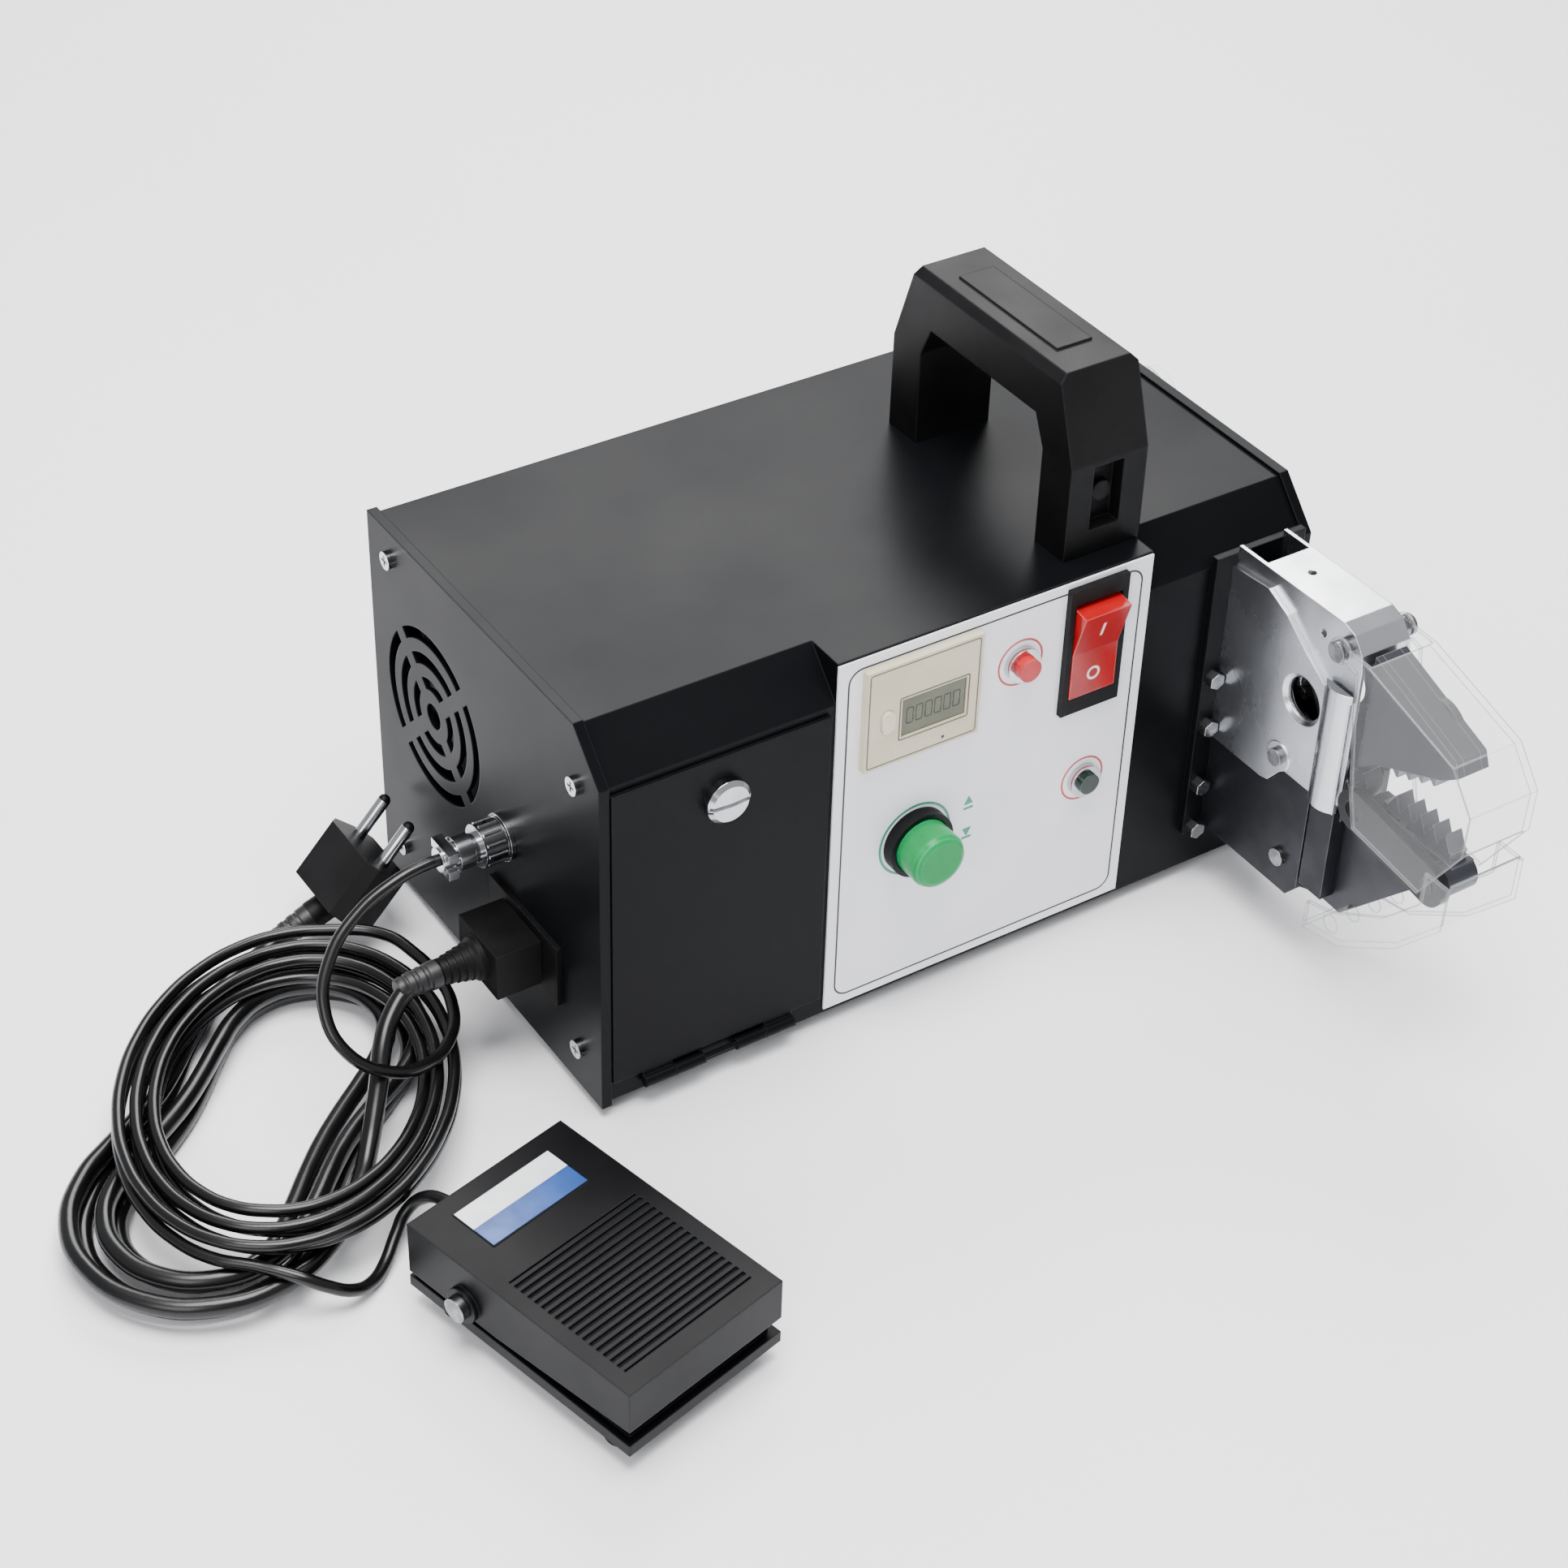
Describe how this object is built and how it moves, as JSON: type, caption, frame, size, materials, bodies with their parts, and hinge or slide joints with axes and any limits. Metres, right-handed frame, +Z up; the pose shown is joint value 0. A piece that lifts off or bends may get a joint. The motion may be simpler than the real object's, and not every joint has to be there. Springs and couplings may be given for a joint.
{
  "type": "terminal crimping machine",
  "caption": "Bench terminal crimping machine: black sheet case with control panel, carry handle, cam-driven crimp head with clear guards, foot pedal and cords.",
  "frame": {"origin": "on the floor plane under the middle of the case, at the centre of its four feet", "axes": "+X along the case towards the end that carries the crimp head, -Y towards the control panel and the operator, +Z up"},
  "size_m": [0.4985, 0.3041, 0.2328],
  "materials": {
    "case_paint": "satin powder coat",
    "panel_white": "satin print on plate",
    "black_plastic": "moulded, fine grain",
    "gloss_black": "smooth",
    "rubber_black": "matt",
    "cord_black": "semi-gloss cord sheath",
    "chrome_part": "polished",
    "zinc_plate": "bright zinc",
    "steel_grey": "ground and oiled",
    "black_steel": "black oxide",
    "bronze_bush": "turned",
    "cast_motor": "satin",
    "beige_plastic": "moulded",
    "lcd_window": "clear over display",
    "red_plastic": "gloss",
    "green_plastic": "gloss, lit cap",
    "clear_guard": "clear moulding"
  },
  "bodies": {
    "case": {"base_tray": "case_paint", "case_cover": "case_paint", "left_end_cap": "case_paint", "right_end_cap": "case_paint", "label_plate": "panel_white", "case_feet": "rubber_black", "case_screws": "chrome_part", "fan_housing": "black_plastic", "carry_handle": "black_plastic", "side_dome": "clear_guard", "counter_housing": "beige_plastic", "counter_window": "lcd_window", "overload_bushing": "chrome_part", "rocker_bezel": "gloss_black", "button_bezel": "gloss_black", "lamp_bezel": "chrome_part", "inlet_socket": "black_plastic", "round_socket": "chrome_part", "round_plug": "chrome_part", "mains_connector": "black_plastic", "mains_plug": "black_plastic", "drive_motor": "cast_motor", "chassis_plates": "zinc_plate", "head_flange": "black_steel", "head_bolts": "chrome_part", "ram_bush": "bronze_bush", "head_frame": "black_steel", "head_cover": "zinc_plate", "side_plates": "zinc_plate", "lower_jaw": "steel_grey", "lower_die": "steel_grey", "jaw_pivot_pin": "zinc_plate", "lower_guard": "clear_guard", "pedal_base": "black_plastic", "pedal_feet": "rubber_black", "pedal_bolt": "chrome_part", "pedal_cord_near": "cord_black", "pedal_coil": "cord_black", "pedal_cord_far": "cord_black", "mains_cord_near": "cord_black", "mains_hank": "cord_black", "mains_cord_far": "cord_black"},
    "fan": {"fan_rotor": "black_plastic"},
    "door": {"access_door": "case_paint"},
    "lock": {"door_lock": "chrome_part"},
    "counter_key": {"counter_reset": "beige_plastic"},
    "overload_key": {"overload_button": "red_plastic"},
    "rocker": {"rocker_paddle": "red_plastic"},
    "start_button": {"push_button": "green_plastic"},
    "lamp_key": {"lamp_button": "gloss_black"},
    "cam": {"camshaft": "steel_grey"},
    "pinion": {"drive_pinion": "steel_grey"},
    "ram_bar": {"ram": "steel_grey"},
    "jaw": {"upper_jaw": "steel_grey", "jaw_plates": "steel_grey", "upper_die": "steel_grey"},
    "arm": {"locator_arm": "black_steel"},
    "guard": {"upper_guard": "clear_guard"},
    "treadle": {"pedal_treadle": "black_plastic"},
    "nut": {"coupling_nut": "chrome_part"}
  },
  "joints": [
    {"name": "fan_spin", "type": "hinge", "parent": "case", "child": "fan", "pos_m": [-0.138, 0.036, 0.101], "axis": [1, 0, 0], "continuous": true},
    {"name": "door_swing", "type": "hinge", "parent": "case", "child": "door", "pos_m": [-0.1025, -0.0823, 0.01085], "axis": [1, 0, 0], "range_deg": [0, 75]},
    {"name": "lock_turn", "type": "hinge", "parent": "door", "child": "lock", "pos_m": [-0.102, -0.082, 0.125], "axis": [0, -1, 0], "range_deg": [0, 90]},
    {"name": "counter_press", "type": "slide", "parent": "case", "child": "counter_key", "axis": [0, 1, 0], "range_m": [0, 0.0012], "stiffness_N_per_m": 400},
    {"name": "overload_press", "type": "slide", "parent": "case", "child": "overload_key", "axis": [0, 1, 0], "range_m": [0, 0.0012], "stiffness_N_per_m": 1500},
    {"name": "rocker_tilt", "type": "hinge", "parent": "case", "child": "rocker", "pos_m": [0.05125, -0.0786, 0.132], "axis": [-1, 0, 0], "range_deg": [0, 16]},
    {"name": "start_press", "type": "slide", "parent": "case", "child": "start_button", "axis": [0, 1, 0], "range_m": [0, 0.004], "stiffness_N_per_m": 600},
    {"name": "lamp_press", "type": "slide", "parent": "case", "child": "lamp_key", "axis": [0, 1, 0], "range_m": [0, 0.0012], "stiffness_N_per_m": 1200},
    {"name": "cam_turn", "type": "hinge", "parent": "case", "child": "cam", "pos_m": [0.125, -0.018, 0.116], "axis": [1, 0, 0], "range_deg": [0, 170]},
    {"name": "pinion_turn", "type": "hinge", "parent": "case", "child": "pinion", "pos_m": [0.125, 0.0195, 0.116], "axis": [1, 0, 0], "range_deg": [-680, 0]},
    {"name": "ram_slide", "type": "slide", "parent": "case", "child": "ram_bar", "axis": [0, -1, 0], "range_m": [0, 0.0133]},
    {"name": "jaw_close", "type": "hinge", "parent": "case", "child": "jaw", "pos_m": [0.125, -0.148, 0.088], "axis": [1, 0, 0], "range_deg": [0, 24]},
    {"name": "arm_swing", "type": "hinge", "parent": "case", "child": "arm", "pos_m": [0.1138, -0.201, 0.08], "axis": [1, 0, 0], "range_deg": [-15, 35]},
    {"name": "guard_swing", "type": "hinge", "parent": "case", "child": "guard", "pos_m": [0.125, -0.144, 0.146], "axis": [-1, 0, 0], "range_deg": [0, 95]},
    {"name": "treadle_press", "type": "hinge", "parent": "case", "child": "treadle", "pos_m": [-0.20734, -0.14147, 0.02], "axis": [0.972, 0.2351, 0], "range_deg": [0, 4], "stiffness_Nm_per_rad": 12, "springref_deg": -1.15},
    {"name": "nut_turn", "type": "hinge", "parent": "case", "child": "nut", "pos_m": [-0.156, -0.015, 0.082], "axis": [1, 0, 0], "range_deg": [0, 360]}
  ],
  "couplings": [
    {"joint": "ram_slide", "follows": "cam_turn", "m_per_rad": 0.0044826},
    {"joint": "jaw_close", "follows": "cam_turn", "ratio": 0.14118},
    {"joint": "pinion_turn", "follows": "cam_turn", "ratio": -4}
  ]
}
